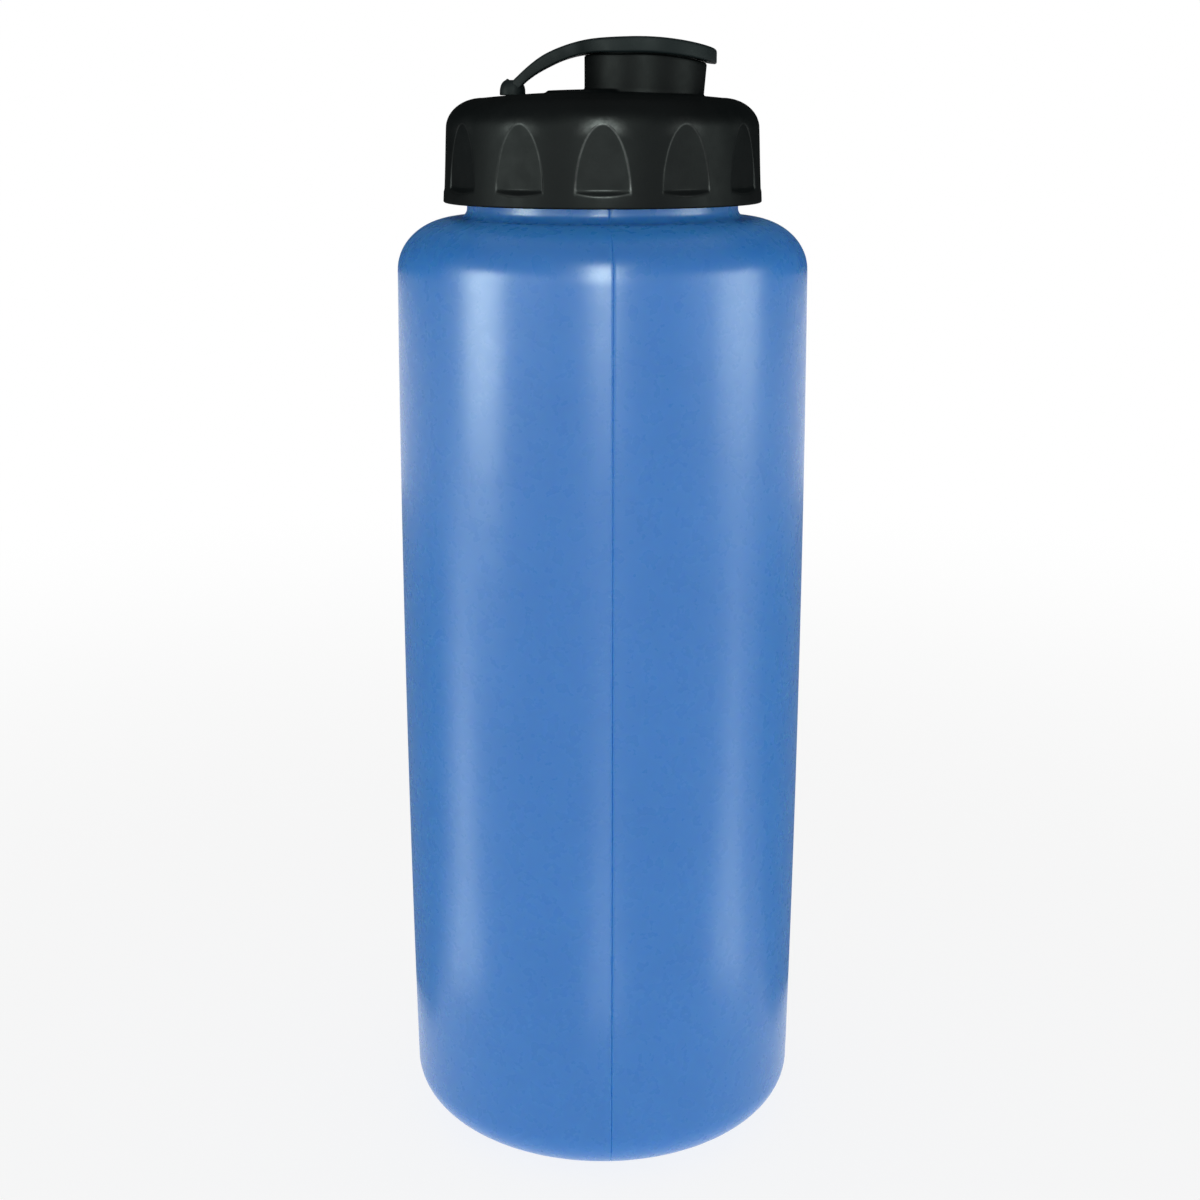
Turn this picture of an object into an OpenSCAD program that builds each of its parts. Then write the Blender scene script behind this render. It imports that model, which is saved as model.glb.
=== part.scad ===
// Squeeze bottle with a screw lid, a round spout and a flip-over strap cap.
// Millimetres, Z up, origin on the floor at the centre of the body.
// The spout lies towards +X and the strap's anchor towards -X.

/* [Bottle] */
// Largest diameter of the body, at mid height
body_d = 89.2; // [84:0.2:100]
// How much the radius shrinks from mid height to the ends
belly = 0.7; // [0:0.1:2]
// Height of the shoulder's top above the floor
body_h = 206.4; // [150:0.2:260]
// Wall of the body
wall = 1.3; // [0.8:0.1:2]
// Flat deck between the shoulder curve and the neck
deck_w = 1.1; // [0.5:0.1:3]
// Shoulder curve, measured in height
shoulder_h = 11; // [7:0.1:20]
// Heel curve, measured radially
heel_w = 15; // [8:0.1:17]
// Heel curve, measured in height
heel_h = 11.2; // [8:0.1:20]
// Width of the flat ring that the bottle stands on
stand_w = 3; // [1:0.1:5]
// Rise of the base inside that ring
push_up = 6; // [2:0.1:9]

/* [Neck] */
// Outside diameter of the neck
neck_d = 57.8; // [54:0.2:58.4]
// Height of the neck above the shoulder
neck_h = 20.9; // [19:0.1:24]
// Wall of the neck
neck_wall = 1.9; // [1.4:0.1:2.4]
// Fillet where the neck leaves the shoulder
neck_fillet = 0.8; // [0.3:0.1:1.5]

/* [Lid] */
// Height of the skirt, from the rim to the edge of the top
lid_h = 21.4; // [20:0.1:22.5]
// Radius lost between the rim and the rounded edge
lid_draft = 0.85; // [0.4:0.05:1.2]
// Rounded edge of the top, measured radially
edge_w = 7.8; // [5:0.1:9]
// Rounded edge of the top, measured in height
edge_h = 6.2; // [4:0.1:7]
// Rise of the top from its edge to its middle
dome_h = 1.25; // [0.5:0.05:2.5]
// Diameter of the raised disc in the middle of the top
disc_d = 22; // [16:0.5:30]
// Height of that raised disc
disc_h = 0.25; // [0.1:0.05:0.5]
// Thickness of the lid's roof at its edge
roof_t = 2.1; // [1.6:0.1:2.6]
// Wall of the skirt at its top, where the thread runs
skirt_t = 2; // [1.6:0.05:2.6]
// Space for the thread, between the neck and the skirt's wall
thread_space = 2.15; // [1.6:0.05:2.6]
// Bevels inside the lid and the small flats on its rim
lid_bevel = 0.4; // [0.2:0.05:0.6]
// Running clearance between the neck and the lid's guide land
neck_clear = 0.4; // [0.2:0.05:0.6]
// Depth of the guide land below the roof
land_h = 2.6; // [1.5:0.1:3]

/* [Finger scallops] */
// Number of scallops round the skirt
scallops = 12; // [8:1:14]
// Width of a scallop at its foot
scallop_w = 11.2; // [7:0.1:12]
// Distance from the top's edge down to a scallop's tip
scallop_tip = 5; // [4:0.1:8]
// Height of a scallop's flat floor
scallop_h = 12.9; // [8:0.1:13.5]
// Depth of the floor at its foot
scallop_deep = 0.75; // [0.3:0.05:0.9]
// Depth of the floor at its tip
scallop_start = 0.12; // [0.05:0.01:0.2]
// Rise of the sloped ledge below the floor for each millimetre outwards
ledge_slope = 1.5; // [1:0.1:2]
// How blunt the pointed arch is, as the power of its height
scallop_power = 0.3; // [0.2:0.05:0.5]

/* [Spout] */
// Distance of the spout's axis from the lid's axis
spout_x = 9; // [6:0.1:9.5]
// Outside diameter of the spout at its top
spout_d = 25.4; // [22:0.1:26]
// Radius that the spout loses towards its root
spout_taper = 0.5; // [0:0.1:0.8]
// Wall of the spout at its top
spout_wall = 1.8; // [1.5:0.1:2.2]

/* [Strap and cap] */
// Thickness of the strap and of the cap
strap_t = 2.7; // [2:0.1:3]
// Height of the strap's crest above the edge of the top
crest_h = 12.2; // [11:0.1:14]
// Distance of the crest from the lid's axis
crest_x = 6.5; // [4:0.1:9]
// Radius of the long curve over the spout, at mid thickness
crest_r = 72; // [60:1:90]
// Radius of the bend down to the anchor, at mid thickness
bend_r = 26; // [25:0.5:28]
// Angle from the crest at which the bend begins
bend_angle = 7.6; // [6.5:0.1:8.5]
// Angle from the crest at which the strap flexes
flex_angle = 38; // [36:0.5:39]
// Angle from the crest at which the strap reaches the anchor's axis
anchor_angle = 47.3; // [46.5:0.1:48]
// Width of the strap where it meets the cap
strap_w = 8; // [6:0.1:12]
// Width of the strap at its anchor
strap_root_w = 4.6; // [3.5:0.1:5]
// Overhang of the round cap beyond the spout
cap_over = 2.2; // [1:0.1:3]
// Depth of the plug below the crest's underside
plug_h = 4.1; // [3:0.1:4.5]
// Wall of the plug
plug_wall = 1.3; // [1:0.1:2]
// Clearance of the plug's sealing land in the spout
plug_clear = 0.12; // [0.08:0.01:0.3]
// Radius that the plug loses towards its foot, so that it swings out
plug_taper = 0.35; // [0.35:0.05:0.8]
// Gap between the cap's underside and the spout's rim
cap_gap = 0.2; // [0.1:0.05:0.3]
// Gap along the flex line, between the anchor's stub and the strap
flex_gap = 0.2; // [0.1:0.05:0.3]

/* [Anchor] */
// Diameter of the round knob on top of the lid
knob_d = 5.26; // [5:0.02:5.6]
// Height of the knob above the edge of the top
knob_h = 3.76; // [3.6:0.02:4.2]
// Rounding of the knob's top
knob_round = 1.5; // [0.8:0.1:1.8]
// Diameter of the stem through the roof
stem_d = 3; // [2.4:0.1:3.4]
// Clearance of the stem in its hole
stem_clear = 0.1; // [0.05:0.05:0.2]
// Bevels on the plug's foot and on the barb
foot_bevel = 0.3; // [0.1:0.05:0.5]
// Diameter of the barb below the roof
barb_d = 4.2; // [3.8:0.1:4.8]
// Height of the barb
barb_h = 1.8; // [1:0.1:2]

/* [Seal] */
// Thickness of the seal ring
seal_t = 1.4; // [1:0.1:2]
// Overlap of the seal ring inside the neck's rim
seal_over = 0.6; // [0.2:0.1:1]
// Clearance of the seal ring on every side
seal_clear = 0.05; // [0.02:0.01:0.1]

/* [Hidden] */
$fn = 96;
eps = 0.01;
end_r = body_d / 2 - belly;
stand_r = end_r - heel_w;
shoulder_w = end_r - neck_d / 2 - neck_fillet - deck_w;
rim_z = body_h + neck_h;
neck_r = neck_d / 2;
bore_r = neck_r - neck_wall;
seal_z = rim_z + seal_clear;
roof_z = seal_z + seal_t + seal_clear;
top_z = roof_z + roof_t;
skirt_z = top_z - lid_h;
side_r = neck_r + thread_space + skirt_t;
rim_r = side_r + lid_draft;
top_r = side_r - edge_w;
disc_z = top_z + dome_h * (1 - pow(disc_d / 2 / top_r, 2)) + disc_h;
land_r = neck_r + neck_clear;
land_z = roof_z - land_h;
thread_r = neck_r + thread_space;
spout_r = spout_d / 2;
spout_bore_r = spout_r - spout_wall;
crest_z = top_z + crest_h - strap_t / 2 - crest_r;
bend_x = crest_x - (crest_r - bend_r) * sin(bend_angle);
bend_z = crest_z + (crest_r - bend_r) * cos(bend_angle);
knob_x = bend_r * sin(anchor_angle) - bend_x;
cap_r = spout_r + cap_over;
cap_angle = asin((spout_x + cap_r) / crest_r) + 2;
plug_r = spout_bore_r - plug_clear;
plug_z = top_z + crest_h - strap_t - plug_h;
knob_r = knob_d / 2;

function ellipse(cx, cz, a, b, from, to, n) =
    [for (i = [0:n]) let (t = from + (to - from) * i / n) [cx + a * cos(t), cz + b * sin(t)]];
function along(a, b, n, i) = a + (b - a) * i / n;

// Body wall from the heel to the shoulder, a shallow parabola
function belly_line(inset, n) =
    let (low = heel_h, high = body_h - shoulder_h)
    [for (i = [1:n - 1]) let (u = 2 * i / n - 1)
        [end_r - inset + belly * (1 - u * u), along(low, high, n, i)]];

// Half profile of the base, heel, body and shoulder, set in by a wall
function body_line(inset) = concat(
    [for (i = [0:6]) let (r = along(0, stand_r - stand_w, 6, i))
        [r, inset + push_up * (1 - pow(r / (stand_r - stand_w), 2))]],
    ellipse(stand_r, heel_h, heel_w - inset, heel_h - inset, -90, 0, 12),
    belly_line(inset, 10),
    ellipse(end_r - shoulder_w, body_h - shoulder_h,
        shoulder_w - inset, shoulder_h - inset, 0, 90, 12));

module bottle() {
    color([0.30, 0.49, 0.75])
    difference() {
        rotate_extrude()
        polygon(concat(
            body_line(0),
            ellipse(neck_r + neck_fillet, body_h + neck_fillet,
                neck_fillet, neck_fillet, -90, -180, 4),
            [[neck_r, rim_z - neck_fillet], [neck_r - neck_fillet / 2, rim_z],
                [0, rim_z]]));
        rotate_extrude()
        polygon(concat(
            body_line(wall),
            [[bore_r, body_h - wall], [bore_r, rim_z - neck_fillet / 2],
                [bore_r + neck_fillet / 2, rim_z], [bore_r + neck_fillet / 2, rim_z + 1],
                [0, rim_z + 1]]));
    }
}

// Upper face of the lid inside its rounded edge, as a profile
function dome_line(lift) = concat(
    [for (i = [0:6]) let (r = along(top_r, disc_d / 2, 6, i))
        [r, top_z + lift + dome_h * (1 - pow(r / top_r, 2))]],
    [for (i = [0:4]) let (r = along(disc_d / 2 - disc_h, 0, 4, i))
        [r, top_z + lift + disc_h + dome_h * (1 - pow(r / top_r, 2))]]);

// Outline of one scallop, a pointed arch with nearly upright legs
module arch_outline() {
    steps = 14;
    foot = -scallop_tip - scallop_h;
    right = [for (i = [0:steps]) let (t = pow(i / steps, 2))
        [scallop_w / 2 * pow(t, scallop_power), foot + scallop_h * (1 - t)]];
    drop = scallop_deep * ledge_slope * 2;
    polygon(concat(
        right,
        [[scallop_w / 2, foot - drop], [-scallop_w / 2, foot - drop]],
        [for (i = [steps:-1:1]) [-right[i][0], right[i][1]]]));
}

// Cutter for the scallop that faces +X: the arch, cut by a leaning floor and a sloped ledge
module scallop() {
    foot = top_z - scallop_tip - scallop_h;
    rim_share = (foot - skirt_z) / (lid_h - edge_h);
    foot_r = rim_r - lid_draft * rim_share - scallop_deep;
    tip_r = side_r - scallop_start;
    reach = 4;
    lean = (foot_r - tip_r) / scallop_h;
    intersection() {
        translate([tip_r - reach, 0, top_z])
        rotate([90, 0, 90])
        linear_extrude(3 * reach)
        arch_outline();
        rotate([90, 0, 0])
        linear_extrude(2 * scallop_w, center = true)
        polygon([
            [foot_r, foot],
            [foot_r + reach, foot - ledge_slope * reach],
            [foot_r + reach, top_z],
            [tip_r - lean * scallop_tip, top_z]]);
    }
}

module lid_skirt() {
    difference() {
        rotate_extrude()
        polygon(concat(
            [[0, skirt_z], [rim_r - lid_bevel, skirt_z], [rim_r, skirt_z + lid_bevel]],
            ellipse(top_r, top_z - edge_h, edge_w, edge_h, 0, 90, 12),
            dome_line(0)));
        rotate_extrude()
        polygon([
            [0, skirt_z - 1], [thread_r + lid_bevel, skirt_z - 1],
            [thread_r + lid_bevel, skirt_z], [thread_r, skirt_z + lid_bevel],
            [thread_r, land_z - 2 * lid_bevel], [land_r, land_z],
            [land_r, roof_z], [0, roof_z]]);
        for (i = [0:scallops - 1])
            rotate([0, 0, 90 + i * 360 / scallops])
            scallop();
    }
}

module spout_wall_up() {
    intersection() {
        translate([spout_x, 0, 0])
        rotate_extrude()
        polygon([
            [0, roof_z + roof_t / 2], [spout_r - spout_taper, roof_z + roof_t / 2],
            [spout_r - spout_taper, top_z + dome_h], [spout_r, top_z + crest_h / 2],
            [spout_r, top_z + crest_h], [0, top_z + crest_h]]);
        translate([crest_x, 0, crest_z])
        rotate([90, 0, 0])
        cylinder(r = crest_r - strap_t / 2 - cap_gap, h = 4 * spout_r, center = true);
    }
}

module lid() {
    color([0.13, 0.15, 0.15])
    difference() {
        union() {
            lid_skirt();
            spout_wall_up();
        }
        translate([spout_x, 0, roof_z - 1])
        cylinder(r = spout_bore_r, h = crest_h + roof_t + 2);
        translate([-knob_x, 0, roof_z - 1])
        cylinder(r = stem_d / 2 + stem_clear, h = roof_t + dome_h + 2);
    }
}

module seal_ring() {
    color([0.85, 0.85, 0.83])
    translate([0, 0, seal_z])
    difference() {
        cylinder(r = land_r - seal_clear, h = seal_t);
        translate([0, 0, -1])
        cylinder(r = bore_r - seal_over, h = seal_t + 2);
    }
}

// Curved slab about a level axis, between two angles from the crest towards -X
module curved_slab(x, z, r, t, w, from, to) {
    translate([x, 0, z])
    rotate([90, 0, 0])
    rotate_extrude(angle = to - from, start = 90 + from)
    translate([r - t / 2, -w / 2])
    square([t, w]);
}

// Plan of the strap, narrower at the anchor than at the cap
module strap_plan(far) {
    join_x = crest_x - crest_r * sin(bend_angle);
    translate([0, 0, top_z])
    linear_extrude(2 * crest_h)
    polygon([
        [-far, -strap_root_w / 2], [-knob_x + knob_r, -strap_root_w / 2],
        [join_x, -strap_w / 2], [spout_x, -strap_w / 2],
        [spout_x, strap_w / 2], [join_x, strap_w / 2],
        [-knob_x + knob_r, strap_root_w / 2], [-far, strap_root_w / 2]]);
}

module strap_anchor() {
    flex_step = flex_gap / 2 / bend_r * 180 / PI;
    color([0.11, 0.15, 0.155])
    union() {
        difference() {
            translate([-knob_x, 0, 0])
            rotate_extrude()
            polygon(concat(
                [[0, roof_z], [knob_r, roof_z]],
                ellipse(knob_r - knob_round, top_z + knob_h - knob_round,
                    knob_round, knob_round, 0, 90, 6),
                [[0, top_z + knob_h]]));
            rotate_extrude()
            polygon(concat([[0, roof_z - 1], [top_r, roof_z - 1]], dome_line(seal_clear)));
        }
        translate([-knob_x, 0, 0])
        rotate_extrude()
        polygon([
            [0, roof_z - seal_clear - barb_h],
            [stem_d / 2 - foot_bevel, roof_z - seal_clear - barb_h],
            [barb_d / 2, roof_z - seal_clear - foot_bevel], [barb_d / 2, roof_z - seal_clear],
            [stem_d / 2, roof_z - seal_clear], [stem_d / 2, top_z + knob_h / 2],
            [0, top_z + knob_h / 2]]);
        intersection() {
            curved_slab(bend_x, bend_z, bend_r, strap_t, strap_w,
                flex_angle + flex_step, anchor_angle);
            strap_plan(knob_x);
        }
    }
}

module flip_cap() {
    flex_step = flex_gap / 2 / bend_r * 180 / PI;
    color([0.11, 0.15, 0.155])
    union() {
        intersection() {
            union() {
                curved_slab(bend_x, bend_z, bend_r, strap_t, strap_w,
                    bend_angle, flex_angle - flex_step);
                curved_slab(crest_x, crest_z, crest_r, strap_t, strap_w,
                    asin((crest_x - spout_x) / crest_r), bend_angle);
            }
            strap_plan(knob_x);
        }
        intersection() {
            curved_slab(crest_x, crest_z, crest_r, strap_t, 3 * cap_r,
                -cap_angle, cap_angle);
            translate([spout_x, 0, top_z])
            cylinder(r = cap_r, h = 2 * crest_h);
        }
        intersection() {
            translate([spout_x, 0, 0])
            difference() {
                rotate_extrude()
                polygon([
                    [0, plug_z], [plug_r - plug_taper - foot_bevel, plug_z],
                    [plug_r - plug_taper, plug_z + foot_bevel],
                    [plug_r, plug_z + plug_h * 0.75],
                    [plug_r, top_z + crest_h], [0, top_z + crest_h]]);
                translate([0, 0, plug_z - 1])
                cylinder(r = plug_r - plug_taper - plug_wall, h = crest_h);
            }
            translate([crest_x, 0, crest_z])
            rotate([90, 0, 0])
            cylinder(r = crest_r, h = 4 * spout_r, center = true);
        }
    }
}

bottle();
lid();
seal_ring();
strap_anchor();
flip_cap();
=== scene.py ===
import math

import bmesh
import bpy
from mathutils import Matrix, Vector, geometry


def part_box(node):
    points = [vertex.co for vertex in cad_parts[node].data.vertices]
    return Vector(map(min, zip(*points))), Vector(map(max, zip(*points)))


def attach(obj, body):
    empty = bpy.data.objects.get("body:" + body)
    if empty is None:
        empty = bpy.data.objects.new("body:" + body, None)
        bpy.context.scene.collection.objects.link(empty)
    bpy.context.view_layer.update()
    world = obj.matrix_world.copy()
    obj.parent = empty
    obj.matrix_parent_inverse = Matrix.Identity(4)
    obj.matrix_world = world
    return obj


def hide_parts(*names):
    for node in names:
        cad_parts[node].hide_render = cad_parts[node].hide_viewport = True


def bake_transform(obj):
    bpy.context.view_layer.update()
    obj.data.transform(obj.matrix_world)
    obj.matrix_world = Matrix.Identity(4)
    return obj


# Squeeze bottle with a screw lid and a strap cap, dressed over its solids.
# Meshes are built in millimetres and scaled to metres once, when they are made.
MM = 0.001
TAU = 2 * math.pi

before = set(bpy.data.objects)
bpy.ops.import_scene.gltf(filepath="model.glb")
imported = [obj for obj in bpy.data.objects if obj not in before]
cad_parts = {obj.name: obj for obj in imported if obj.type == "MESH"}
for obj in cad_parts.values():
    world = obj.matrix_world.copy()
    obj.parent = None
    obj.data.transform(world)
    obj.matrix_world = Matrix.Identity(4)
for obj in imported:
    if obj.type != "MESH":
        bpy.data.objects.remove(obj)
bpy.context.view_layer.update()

# Corners of the solids' boxes, in millimetres
BOTTLE_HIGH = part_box("bottle")[1] / MM
LID_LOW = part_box("lid")[0] / MM
SEAL_LOW, SEAL_HIGH = (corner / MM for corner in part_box("seal_ring"))
CAP_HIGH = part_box("flip_cap")[1] / MM

# Bottle, from its base to the rim of its neck
RIM_Z = BOTTLE_HIGH.z
BELLY = 0.7
END_R = BOTTLE_HIGH.x - BELLY
WALL = 1.3
HEEL_W, HEEL_H = 15.0, 11.2
STAND_W, PUSH_UP = 3.0, 6.0
STAND_R = END_R - HEEL_W
NECK_R, NECK_H, NECK_WALL, NECK_FILLET = 28.9, 20.9, 1.9, 0.8
BODY_H = RIM_Z - NECK_H
DECK_W, SHOULDER_H = 1.1, 11.0
SHOULDER_W = END_R - NECK_R - NECK_FILLET - DECK_W
BORE_R = NECK_R - NECK_WALL

# Lid: its roof rests on the seal, and its threaded wall clears the neck
ROOF_Z = SEAL_HIGH.z + 0.05
TOP_Z = ROOF_Z + 2.1
SKIRT_Z = LID_LOW.z
LAND_R, LAND_Z = NECK_R + 0.4, ROOF_Z - 2.6
THREAD_WALL_R = NECK_R + 2.15
SIDE_R = THREAD_WALL_R + 2.0
RIM_R = SIDE_R + 0.85
EDGE_W, EDGE_H = 7.8, 6.2
TOP_R = SIDE_R - EDGE_W
DOME_H, DISC_R, DISC_H = 1.3, 12.2, 0.45
LID_BEVEL = 0.4

# Finger scallops: an arch with a leaning floor, rounded edges and a ledge at its foot
SCALLOPS = 12
SCALLOP_W, SCALLOP_TIP, SCALLOP_H = 11.2, 5.0, 12.9
SCALLOP_DEEP, SCALLOP_START = 0.75, 0.12
LEDGE_SLOPE, ARCH_ROUND = 1.5, 0.92
LEDGE_ROUND, FLOOR_ROUND, EDGE_OUT, EDGE_SPAN = 0.25, 0.22, 0.16, 0.42
LINE_IN, LINE_HALF, GLOW_REACH = 0.12, 0.27, 2.8
FOOT_Z = TOP_Z - SCALLOP_TIP - SCALLOP_H
TIP_Z = TOP_Z - SCALLOP_TIP

# Spout, whose wall stands upright on the strap's side and leans out on the other
SPOUT_X, SPOUT_R, SPOUT_BORE_R = 9.0, 12.7, 10.9
SPOUT_LEAN, SPOUT_OUT = 0.25, 0.12
ROOT_X, ROOT_R = SPOUT_X - SPOUT_LEAN, SPOUT_R + SPOUT_OUT - SPOUT_LEAN

# Strap: a flat arc over the spout runs into a tighter one, which ends in the knob
CREST_X, CREST_R, BEND_R = 6.5, 72.0, 26.0
STRAP_T, CAP_GAP = 2.7, 0.2
CREST_H = CAP_HIGH.z - TOP_Z
CREST_Z = CAP_HIGH.z - STRAP_T / 2 - CREST_R
BEND_ANGLE, FLEX_ANGLE, ANCHOR_ANGLE = (math.radians(a) for a in (7.6, 38.0, 47.3))
BEND_X = CREST_X - (CREST_R - BEND_R) * math.sin(BEND_ANGLE)
BEND_Z = CREST_Z + (CREST_R - BEND_R) * math.cos(BEND_ANGLE)
JOIN_X = CREST_X - CREST_R * math.sin(BEND_ANGLE)
CAP_R = SPOUT_R + 2.2
STRAP_W, STRAP_ROOT_W = 8.0, 4.6
STRAP_THIN, STRAP_FLARE, CAP_CROWN, CAP_DEEP = 2.05, 7.0, 0.3, 0.4
ROUND_TOP, ROUND_UNDER = 0.6, 0.4
PLUG_R, PLUG_TAPER, PLUG_WALL = SPOUT_BORE_R - 0.12, 0.35, 1.3
PLUG_Z = TOP_Z + CREST_H - STRAP_T - 4.1
KNOB_X = BEND_X - BEND_R * math.sin(ANCHOR_ANGLE) - 0.25
KNOB_R, KNOB_H, KNOB_ROUND, KNOB_DOME = 2.7, 3.6, 1.5, 2.4
STEM_R, HOLE_R, BARB_R, BARB_H = 1.5, 1.6, 2.1, 1.8

# Screw thread, left to this scene by the solids, with the lead of the lid's joints
LEAD = 5.0
THREAD_CREST_HALF, THREAD_ROOT_HALF, THREAD_FADE = 0.4, 1.05, math.radians(28)
THREAD_LOW, THREAD_START = RIM_Z - 10.6, -1.0
NECK_RIDGE, NECK_TURNS = 1.45, 1.55
LID_RIDGE, LID_TURNS = 1.75, 1.3

# Parting plane of the bottle's mould, seen a little right of the middle of the front
SEAM_ANGLE = math.radians(-90 + 2.6)
SEAM_LIP, SEAM_GROOVE, SEAM_HALF = 0.05, 0.16, 0.15

# Fineness of the lid's mesh, and the angles over which an edge is drawn sharp
SECTOR_STEPS, SPOUT_N, HOLE_N = 14, 96, 24
CREASE, STRAP_CREASE = math.radians(40), math.radians(38)

# View of the photograph: its width and focal length in pixels, and the camera's place
PHOTO_W, FOCAL, SENSOR = 1200, 1832, 36
CAMERA_X, CAMERA_Y, CAMERA_DROP, CAMERA_PITCH = -0.00055, -0.4, 3, math.radians(14.9)

# Light of the studio: a dim ceiling over a bright sweep, which is plain white to the eye
CEILING_LIGHT = 0.42
LAMP_TINT = (0.86, 1.0, 0.93)
SWEEP_LIGHT = 0.95
SHADOW_SHARE, SHADOW_NEAR, SHADOW_FAR = 0.15, 0.15, 0.7
SWEEP_R, SWEEP_BEND, SWEEP_WALL = 2.8, 0.6, 1.25
CARD_R, CARD_LOW, CARD_HIGH, CARD_TONE = 1.0, 0.115, 1.3, 0.03
FLOOR_CARD_IN, FLOOR_CARD_OUT, FLOOR_CARD_TONE = 0.08, 0.75, 0.42
CARD_LIFT, STRIP_LIFT = 0.0005, 0.003


def smooth(x):
    x = min(1.0, max(0.0, x))
    return x * x * (3 - 2 * x)


def smooth_max(a, b, k):
    h = max(k - abs(a - b), 0.0) / k
    return max(a, b) + h * h * k / 4


def span(a, b, n):
    return [a + (b - a) * i / n for i in range(n + 1)]


def even_angles(n):
    return [TAU * i / n for i in range(n)]


def ellipse(cx, cz, a, b, start, end, n):
    angles = [math.radians(t) for t in span(start, end, n)]
    return [(cx + a * math.cos(t), cz + b * math.sin(t)) for t in angles]


def shade(mesh, crease):
    """Smooth shading with sharp edges where faces meet at more than the crease angle."""
    mesh.polygons.foreach_set("use_smooth", [True] * len(mesh.polygons))
    mesh.set_sharp_from_angle(angle=crease)


class Shell:
    """Vertices and faces of one piece, in millimetres."""

    def __init__(self):
        self.verts = []
        self.faces = []
        self.marks = {}

    def ring(self, points):
        first = len(self.verts)
        self.verts.extend(points)
        return list(range(first, first + len(points)))

    def bridge(self, lower, upper, closed=True):
        n = len(lower)
        for i in range(n if closed else n - 1):
            j = (i + 1) % n
            self.faces.append((lower[i], lower[j], upper[j], upper[i]))

    def fan(self, ring, centre, flip=False):
        (tip,) = self.ring([centre])
        n = len(ring)
        for i in range(n):
            a, b = ring[i], ring[(i + 1) % n]
            self.faces.append((b, a, tip) if flip else (a, b, tip))

    def revolve(self, profile, angles, centre=0.0, bend=None, closed=False):
        """Rings of a half profile (r, z) about a vertical axis at x = centre."""
        rings = []
        for r, z in profile:
            if r < 1e-9:
                rings.append(None if closed else (centre, 0.0, z))
                continue
            points = []
            for a in angles:
                rr, zz = bend(a, r, z) if bend else (r, z)
                points.append((centre + rr * math.cos(a), rr * math.sin(a), zz))
            rings.append(self.ring(points))
        for low, high in zip(rings, rings[1:]):
            if isinstance(low, tuple):
                self.fan(high, low, flip=True)
            elif isinstance(high, tuple):
                self.fan(low, high)
            else:
                self.bridge(low, high)
        if closed:
            self.bridge(rings[-1], rings[0])
        return rings

    def fill(self, points, loops, keep, lift, flip=False):
        """Triangles between flat points (x, y), lifted to space; loops are kept as edges."""
        flat = [Vector(p) for p in points]
        edges = []
        for loop in loops:
            first = len(flat)
            flat.extend(Vector(p) for p in loop)
            n = len(loop)
            edges.extend((first + i, first + (i + 1) % n) for i in range(n))
        out, _, faces, _, _, _ = geometry.delaunay_2d_cdt(flat, edges, [], 0, 1e-5)
        ids = self.ring([lift(p.x, p.y) for p in out])
        for face in faces:
            middle = sum((out[i] for i in face), Vector((0, 0))) / len(face)
            if keep(middle.x, middle.y):
                corners = [ids[i] for i in face]
                self.faces.append(tuple(reversed(corners)) if flip else tuple(corners))

    def build(self, name, weld=1e-4):
        mesh = bpy.data.meshes.new(name)
        mesh.from_pydata([Vector(v) * MM for v in self.verts], [], self.faces)
        if self.marks:
            marks = mesh.attributes.new("crisp", "FLOAT", "POINT")
            values = [self.marks.get(i, 0.0) for i in range(len(self.verts))]
            marks.data.foreach_set("value", values)
        work = bmesh.new()
        work.from_mesh(mesh)
        bmesh.ops.remove_doubles(work, verts=work.verts, dist=weld * MM)
        loose = [v for v in work.verts if not v.link_faces]
        bmesh.ops.delete(work, geom=loose, context="VERTS")
        bmesh.ops.recalc_face_normals(work, faces=work.faces)
        work.to_mesh(mesh)
        work.free()
        shade(mesh, CREASE)
        piece = bpy.data.objects.new(name, mesh)
        bpy.context.scene.collection.objects.link(piece)
        return piece


def thread_height(angle, z, low_z, turns, height):
    """Radial height of a right-hand ridge that starts at THREAD_START and low_z."""
    best = 0.0
    end = turns * TAU
    for k in range(int(turns) + 1):
        u = (angle - THREAD_START) % TAU + k * TAU
        if u > end:
            break
        off = abs(z - low_z - LEAD * u / TAU)
        flank = smooth((THREAD_ROOT_HALF - off) / (THREAD_ROOT_HALF - THREAD_CREST_HALF))
        fade = smooth(u / THREAD_FADE) * smooth((end - u) / THREAD_FADE)
        best = max(best, height * flank * fade)
    return best


# Bottle

def seam_height(angle, r):
    """Parting line: a fine groove between two soft lips, on both sides of the mould."""
    gap = abs((angle - SEAM_ANGLE + math.pi / 2) % math.pi - math.pi / 2) * r
    lip = SEAM_LIP * smooth(1 - abs(gap - SEAM_HALF) / (2 * SEAM_HALF))
    return lip - SEAM_GROOVE * smooth(1 - gap / SEAM_HALF)


def seam_columns(count):
    """Even angles round the body, with closer ones beside each parting line."""
    half = [0.05, 0.1, 0.15, 0.22, 0.3, 0.45, 0.7]
    fine = [x / END_R for x in [-h for h in reversed(half)] + [0.0] + half]
    close = [SEAM_ANGLE + side + f for side in (0, math.pi) for f in fine]
    step = TAU / count
    even = [SEAM_ANGLE + (i + 0.5) * step for i in range(count)]
    return sorted(a % TAU for a in even + close)


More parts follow.
